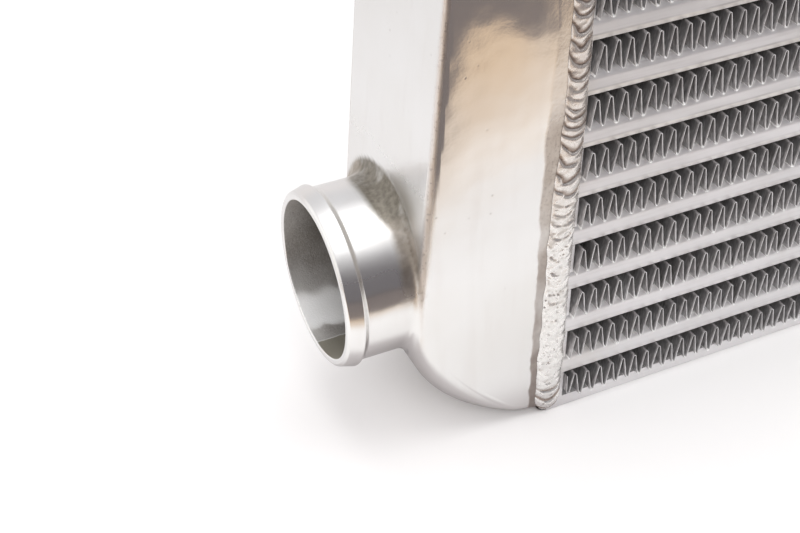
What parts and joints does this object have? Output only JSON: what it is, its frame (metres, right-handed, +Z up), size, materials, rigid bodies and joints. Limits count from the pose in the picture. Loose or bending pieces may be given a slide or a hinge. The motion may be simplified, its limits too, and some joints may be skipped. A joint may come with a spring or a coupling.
{
  "type": "intercooler",
  "caption": "Bar-and-plate charge air cooler: brazed core of folded fins between bars, with cast end tanks and beaded hose necks welded on.",
  "frame": {"origin": "middle of the base, the underside of the lower side plate", "axes": "+X along the core from the left tank to the right tank, +Y through the core from its front face to its back face, +Z up the stack of rows"},
  "size_m": [0.4174, 0.0648, 0.1997],
  "materials": {
    "casting": "satin, blasted inside the necks",
    "bar": "mill finish, dull",
    "sheet": "mill finish",
    "fin": "mill finish after brazing",
    "weld": "as welded, rippled"
  },
  "bodies": {
    "root": {"side_plate_bottom": "bar", "side_plate_top": "bar", "air_fins_01": "fin", "air_fins_02": "fin", "air_fins_03": "fin", "air_fins_04": "fin", "air_fins_05": "fin", "air_fins_06": "fin", "air_fins_07": "fin", "air_fins_08": "fin", "air_fins_09": "fin", "air_fins_10": "fin", "air_fins_11": "fin", "closing_bars_01": "bar", "closing_bars_02": "bar", "closing_bars_03": "bar", "closing_bars_04": "bar", "closing_bars_05": "bar", "closing_bars_06": "bar", "closing_bars_07": "bar", "closing_bars_08": "bar", "closing_bars_09": "bar", "closing_bars_10": "bar", "closing_bars_11": "bar", "turbulator_01": "fin", "turbulator_02": "fin", "turbulator_03": "fin", "turbulator_04": "fin", "turbulator_05": "fin", "turbulator_06": "fin", "turbulator_07": "fin", "turbulator_08": "fin", "turbulator_09": "fin", "turbulator_10": "fin", "charge_bars_01": "bar", "charge_bars_02": "bar", "charge_bars_03": "bar", "charge_bars_04": "bar", "charge_bars_05": "bar", "charge_bars_06": "bar", "charge_bars_07": "bar", "charge_bars_08": "bar", "charge_bars_09": "bar", "charge_bars_10": "bar", "parting_sheets_01": "sheet", "parting_sheets_02": "sheet", "parting_sheets_03": "sheet", "parting_sheets_04": "sheet", "parting_sheets_05": "sheet", "parting_sheets_06": "sheet", "parting_sheets_07": "sheet", "parting_sheets_08": "sheet", "parting_sheets_09": "sheet", "parting_sheets_10": "sheet", "end_tank_left": "casting", "end_tank_right": "casting", "tank_weld_left": "weld", "tank_weld_right": "weld"}
  },
  "joints": []
}
